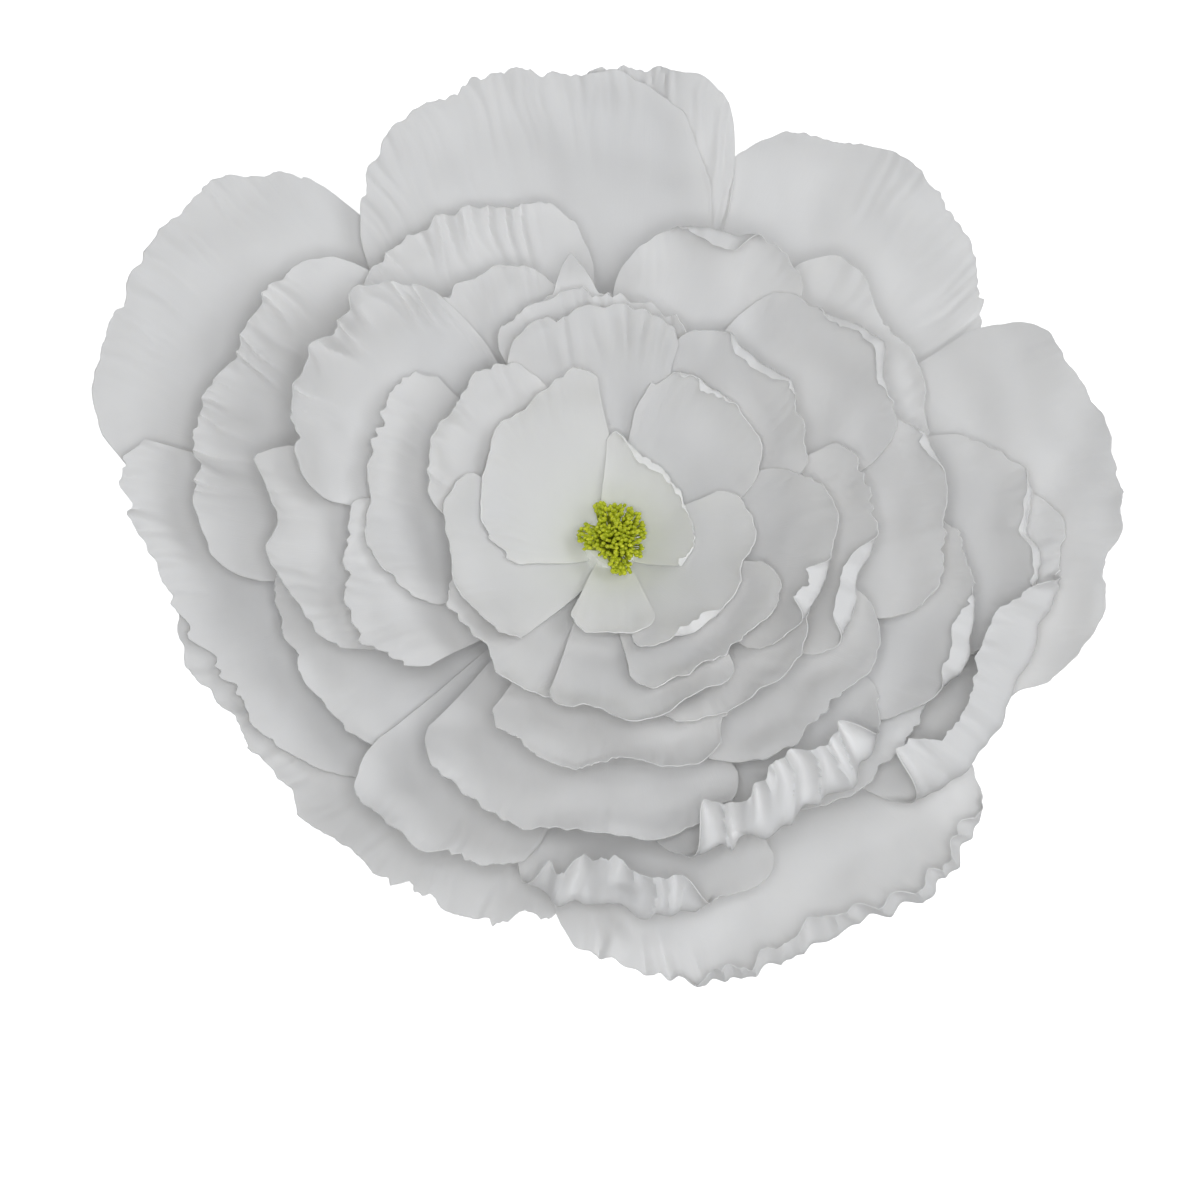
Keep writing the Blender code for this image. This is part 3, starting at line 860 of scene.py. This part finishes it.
def petal_settings(one, row, rim_radius, seed):
    """The tree's inputs for one petal. Some are the petal's own settings as they are."""
    settings = {name.replace("_", " ").capitalize(): one[name] for name in PLAIN_SETTINGS}
    radius, height, lean, bend = row_bowl(row)
    inset = one["roll_radius"] * (1.0 - math.sin(lean + rim_radius / bend)) if one["roll"] else 0.0
    length = sheet_length(row, rim_radius - inset)
    rim_width = rim_radius * math.radians(one["half_angle"])
    settings.update({
        "Cells across": int(2.0 * rim_width / CELL),
        "Cells along": int(CELLS_ALONG * length / CELL) + (ROLL_CELLS if one["roll"] else 0),
        "Azimuth": math.radians(one["azimuth"]),
        "Half angle": math.radians(one["half_angle"]),
        "Base radius": radius,
        "Base height": height,
        "Lean": lean,
        "Bend": bend,
        "Length": length,
        "Rim width": rim_width,
        "Clockwise drop": one["corners"][0],
        "Anticlockwise drop": one["corners"][1],
        "Roll": one["roll"] * rim_radius + one["fold"],
        "Roll from": one["roll_span"][0],
        "Roll to": one["roll_span"][1],
        "Roll turn": math.radians(one["roll_turn"]),
        "Pleat from": one["pleat_span"][0],
        "Pleat to": one["pleat_span"][1],
        "Turn from": one["turn_span"][0],
        "Turn to": one["turn_span"][1],
        "Seed": float(seed),
        "Material": PETAL_SHEET,
    })
    return settings


print("length of a sheet in the lowest row:", round(sheet_length(0, RING_REACH["guard"]), 3))


# %% Make the petals
PAPER = 0.0008
SEED_STEP = 7                   # from one petal of a ring to the next


def thicken(piece):
    """Give a sheet its thickness, half to each side."""
    modifier = piece.modifiers.new("thickness", "SOLIDIFY")
    modifier.thickness = PAPER
    modifier.offset = 0.0


def make_petal(name, settings):
    """One petal as a plain mesh object that replaces its CAD node."""
    piece = run_tree(f"{name}_sheet", PETAL_TREE, PETAL_IDENTIFIERS, settings, thicken)
    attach(piece, "root")
    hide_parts(name)
    return piece


def make_petals():
    """Every petal, ring by ring."""
    faces = 0
    for ring, petals in RINGS.items():
        for index, one in enumerate(petals):
            name = f"{ring}_petal_{index + 1}"
            rim_radius = RING_REACH[ring] * (1.0 + one["over"])
            seed = len(name) + SEED_STEP * index
            piece = make_petal(name, petal_settings(one, ROWS[ring, index], rim_radius, seed))
            faces += len(piece.data.polygons)
    return faces


print("faces in the petals:", make_petals())

# %% [markdown]
# ## Stamens
# The stamens are a bundle of thin stalks with a bead on each tip: one large tuft and three small ones
# beside it. In each, a spiral with the golden angle spreads the tips evenly over an oval dome, and a
# little randomness hides the spiral. One tree instances a bead at every tip and a stalk from the
# bundle's foot up to it, which is less work than placing three hundred beads.

# %% Sizes of the stamens
BEAD_RADIUS = 0.0018
BEAD_FINENESS = 3
STALK_RADIUS = 0.0005
STALK_SIDES = 6
FOOT_RADIUS = 0.009
BUNDLE_FOOT = row_height(ROW_COUNT - 1) + ROW_PITCH
GOLDEN_ANGLE = math.pi * (3.0 - math.sqrt(5.0))
TURN_SCATTER = 0.35
TIP_SCATTER = (-0.005, 0.0025)
BEAD_SIZES = (0.75, 1.15)
BEAD_DEPTH = 0.9
BEAD_LENGTH = 1.35
TUFT_SEEDS = 10                 # random seeds kept for one tuft
# Each tuft: beads, half width, half length, crown, shift to +X, shift to +Y, height above the foot.
TUFTS = [
    (230, 0.0200, 0.0255, 0.0080, 0.0055, 0.0000, 0.0215),
    (44, 0.0080, 0.0105, 0.0030, -0.0195, -0.0005, 0.0185),
    (18, 0.0050, 0.0045, 0.0030, -0.0095, 0.0225, 0.0200),
    (14, 0.0075, 0.0030, 0.0020, 0.0065, -0.0270, 0.0180),
]
STAMEN_INPUTS = [(label, "NodeSocketFloat") for label in ("Bead radius", "Foot", "Foot radius")]
STAMEN_INPUTS += [(label, "NodeSocketMaterial") for label in ("Bead material", "Stalk material")]
print("beads:", sum(tuft[0] for tuft in TUFTS))


# %% Helpers for instances
def random_number(tree, low, high, seed):
    """A random number for each instance."""
    node = tree.nodes.new("FunctionNodeRandomValue")
    floats = [socket for socket in node.inputs if socket.type == "VALUE"]
    floats[0].default_value = low
    floats[1].default_value = high
    node.inputs["Seed"].default_value = seed
    output = [socket for socket in node.outputs if socket.type == "VALUE"][0]
    return Number(tree, output)


def points_at(tree, count, place):
    """This many points, each at its own place."""
    return add_node(tree, "GeometryNodePoints", {"Count": count, "Position": place}).outputs[0]


def instances(tree, points, shape, scale, rotation, material):
    """A turned and painted copy of a shape on every point."""
    inputs = {"Points": points, "Instance": shape, "Scale": scale, "Rotation": rotation}
    copies = add_node(tree, "GeometryNodeInstanceOnPoints", inputs)
    inputs = {"Geometry": copies.outputs[0], "Material": material}
    return add_node(tree, "GeometryNodeSetMaterial", inputs).outputs[0]


# %% [markdown]
# ## One tuft
# A stalk leans from its foot to its tip. The same spiral gives both ends, small at the foot and wide at
# the tips. The stalk's shape is a cylinder one metre long, so scaled by the distance between its ends
# and put halfway, it joins them.

# %% Tree of the stamens
def add_tuft(tree, value, shapes, tuft, seed):
    """The beads and stalks of one tuft, spread over an oval dome."""
    bead, stalk = shapes
    beads, half_width, half_length, crown, shift_x, shift_y, height = tuft
    index = Number(tree, tree.nodes.new("GeometryNodeInputIndex").outputs[0])
    out = ((index + 0.5) / beads) ** 0.5
    turn = index * GOLDEN_ANGLE + random_number(tree, -TURN_SCATTER, TURN_SCATTER, seed)
    foot_x = value["Foot radius"] * out * turn.cos()
    foot_y = value["Foot radius"] * out * turn.sin()
    x = half_width * out * turn.cos() + shift_x
    y = half_length * out * turn.sin() + shift_y
    z = value["Foot"] + height + crown * (1.0 - out * out) + random_number(tree, *TIP_SCATTER, seed + 1)
    run_x = x - foot_x
    run_y = y - foot_y
    run_z = z - value["Foot"]
    run = combine(tree, run_x, run_y, run_z)
    lean = add_node(tree, "FunctionNodeAlignEulerToVector", {"Vector": run}, axis="Z").outputs[0]

    size = random_number(tree, *BEAD_SIZES, seed + 2)
    bead_scale = combine(tree, size, size * BEAD_DEPTH, size * BEAD_LENGTH)
    tips = points_at(tree, beads, combine(tree, x, y, z))
    heads = instances(tree, tips, bead, bead_scale, lean, value["Bead material"])
    length = (run_x * run_x + run_y * run_y + run_z * run_z) ** 0.5
    stalk_scale = combine(tree, 1.0, 1.0, length)
    middle = combine(tree, (x + foot_x) * 0.5, (y + foot_y) * 0.5, (z + value["Foot"]) * 0.5)
    middles = points_at(tree, beads, middle)
    threads = instances(tree, middles, stalk, stalk_scale, lean, value["Stalk material"])
    return heads, threads


def stamen_tree():
    """Every tuft of the stamens in one tree."""
    tree, value, identifiers = new_tree("stamens", STAMEN_INPUTS)
    size = {"Radius": value["Bead radius"], "Subdivisions": BEAD_FINENESS}
    bead = add_node(tree, "GeometryNodeMeshIcoSphere", size).outputs["Mesh"]
    size = {"Radius": STALK_RADIUS, "Depth": 1.0, "Vertices": STALK_SIDES}
    stalk = add_node(tree, "GeometryNodeMeshCylinder", size).outputs["Mesh"]
    both = tree.nodes.new("GeometryNodeJoinGeometry")
    for number, tuft in enumerate(TUFTS):
        for part in add_tuft(tree, value, (bead, stalk), tuft, TUFT_SEEDS * number):
            tree.links.new(part, both.inputs[0])
    real = add_node(tree, "GeometryNodeRealizeInstances", {"Geometry": both.outputs[0]})
    smooth = add_node(tree, "GeometryNodeSetShadeSmooth", {"Geometry": real.outputs[0]})
    add_node(tree, "NodeGroupOutput", {"Geometry": smooth.outputs[0]})
    return tree, identifiers


# %% [markdown]
# ## Speckled finishes
# Waxy beads, stiffened thread, pale foam and card differ in two colours, the size of their spots and how
# rough they are, so one function makes all four. The thread's dark green is partly its own colour and
# partly painted shade between the beads. The card's fibres are spots drawn out along Y.

# %% Speckled finishes
BEAD_LIGHT = (0.76, 0.80, 0.04)
BEAD_DARK = (0.40, 0.48, 0.01)
# The stalks' own dark green, made darker still as painted shade in the gaps between the beads.
STALK_AND_SHADE_GREEN = (0.16, 0.20, 0.02)
FOAM_COLOURS = ((0.87, 0.88, 0.83), (0.86, 0.87, 0.82))
CARD_COLOURS = ((0.74, 0.73, 0.70), (0.68, 0.67, 0.64))


def speckled_material(name, roughness, colours, tone_spots, detail=0.0, grain_spots=None, grain_depth=0.0):
    """A material that wanders between two colours, with a fine bumpy grain if one is asked for."""
    material, shader = new_material(name, roughness)
    tree = material.node_tree
    place = object_place(tree)
    tone = as_share(spots(tree, place, tone_spots, detail))
    tree.links.new(blend_colours(tree, tone, *colours), shader.inputs["Base Color"])
    if grain_spots:
        bump(tree, shader, spots(tree, place, grain_spots), grain_depth)
    return material


BEAD_WAX = speckled_material(
    "stamen_bead", roughness=0.4, colours=(BEAD_DARK, BEAD_LIGHT), tone_spots=(260.0,) * 3,
    grain_spots=(1500.0,) * 3, grain_depth=0.0002)
STALK_THREAD_AND_SHADE = speckled_material(
    "stamen_stalk", roughness=0.6, colours=(STALK_AND_SHADE_GREEN, BEAD_LIGHT), tone_spots=(400.0, 400.0, 60.0))
CORE_FOAM = speckled_material(
    "core_foam", roughness=0.85, colours=FOAM_COLOURS, tone_spots=(300.0,) * 3, detail=2.0,
    grain_spots=(700.0,) * 3, grain_depth=0.0001)
DISC_CARD = speckled_material(
    "disc_card", roughness=0.8, colours=CARD_COLOURS, tone_spots=(500.0, 120.0, 500.0), detail=3.0,
    grain_spots=(900.0, 300.0, 900.0), grain_depth=0.0002)
print("nodes in the card's material:", len(DISC_CARD.node_tree.nodes))


# %% Make the stamens
def make_stamens():
    """The stamens as one plain mesh that replaces the CAD cluster."""
    tree, identifiers = stamen_tree()
    settings = {
        "Bead radius": BEAD_RADIUS,
        "Foot": BUNDLE_FOOT,
        "Foot radius": FOOT_RADIUS,
        "Bead material": BEAD_WAX,
        "Stalk material": STALK_THREAD_AND_SHADE,
    }
    piece = run_tree("stamen_cluster", tree, identifiers, settings)
    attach(piece, "root")
    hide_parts("stamens")
    return piece


print("faces in the stamens:", len(make_stamens().data.polygons))

# %% [markdown]
# ## Core and backing disc
# Both are simple turned shapes that the CAD model already has right, so they keep their meshes and only
# get their finishes here.

# %% Core and backing disc
for node, material in (("core", CORE_FOAM), ("backing_disc", DISC_CARD)):
    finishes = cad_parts[node].data.materials
    finishes.clear()
    finishes.append(material)
    print("faces that get a finish on the", node + ":", len(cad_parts[node].data.polygons))

# %% [markdown]
# ## Floor
# The photograph has a plain white ground. A white floor under studio light is rarely quite white, so the
# floor glows a little, but only for the camera: no light is added to the flower, and its shadow stays.

# %% Floor
FLOOR_SIZE = 12.0
FLOOR_GLOW = 0.78
FLOOR_WHITE = (0.93, 0.93, 0.93, 1.0)
PURE_WHITE = (1.0, 1.0, 1.0, 1.0)


def seen_by_camera(tree):
    """1 for a ray that comes straight from the camera, otherwise 0."""
    return Number(tree, tree.nodes.new("ShaderNodeLightPath").outputs["Is Camera Ray"])


def add_floor():
    """A pale floor that is white in the camera's view but still takes the flower's shadow."""
    half = FLOOR_SIZE / 2
    corners = [(-half, -half, 0), (half, -half, 0), (half, half, 0), (-half, half, 0)]
    mesh = bpy.data.meshes.new("floor")
    mesh.from_pydata(corners, [], [(0, 1, 2, 3)])
    floor = bpy.data.objects.new("floor", mesh)
    bpy.context.scene.collection.objects.link(floor)
    material, shader = new_material("floor_white", roughness=0.9)
    tree = material.node_tree
    set_inputs(tree, shader, {
        "Base Color": FLOOR_WHITE,
        "Specular IOR Level": 0.0,
        "Emission Color": PURE_WHITE,
        "Emission Strength": seen_by_camera(tree) * FLOOR_GLOW,
    })
    mesh.materials.append(material)


add_floor()
print("floor across, in metres:", FLOOR_SIZE)

# %% [markdown]
# ## Light
# White paper shows its shape only by soft shadow, and the photograph's shadows are very soft. A broad
# fill lamp close to the camera reaches down between the petals, so the gaps don't go dark. A key lamp
# from the right gives the flutes and rolled rims their shading. A weak even sky lifts what neither
# lamp reaches.

# %% Light
SKY_STRENGTH = 0.20
LAMP_COLOUR = (0.945, 0.965, 0.985)
LAMP_AIM = (0.0, 0.0, 0.1)
KEY_POWER = 15.0
KEY_SIZE = 1.6
KEY_PLACE = (1.5, 0.2, 2.2)
FILL_POWER = 27.0
FILL_SIZE = 0.9
FILL_PLACE = (0.0, -0.5, 2.6)


def add_sky():
    """Even light from all round, and plain white where the camera sees it."""
    world = bpy.data.worlds.new("sky")
    world.use_nodes = True
    tree = world.node_tree
    strength = seen_by_camera(tree) * (1.0 - SKY_STRENGTH) + SKY_STRENGTH
    set_inputs(tree, tree.nodes["Background"], {"Color": PURE_WHITE, "Strength": strength})
    bpy.context.scene.world = world


def add_lamp(name, place, size, power):
    """A square area lamp that points at the flower."""
    data = bpy.data.lights.new(name, "AREA")
    data.size = size
    data.energy = power
    data.color = LAMP_COLOUR
    lamp = bpy.data.objects.new(name, data)
    lamp.location = place
    lamp.rotation_euler = (Vector(LAMP_AIM) - Vector(place)).to_track_quat("-Z", "Y").to_euler()
    bpy.context.scene.collection.objects.link(lamp)
    print(name, "in watts:", power)


add_sky()
add_lamp("key_lamp", KEY_PLACE, KEY_SIZE, KEY_POWER)
add_lamp("fill_lamp", FILL_PLACE, FILL_SIZE, FILL_POWER)
bpy.context.scene.view_settings.view_transform = "Standard"
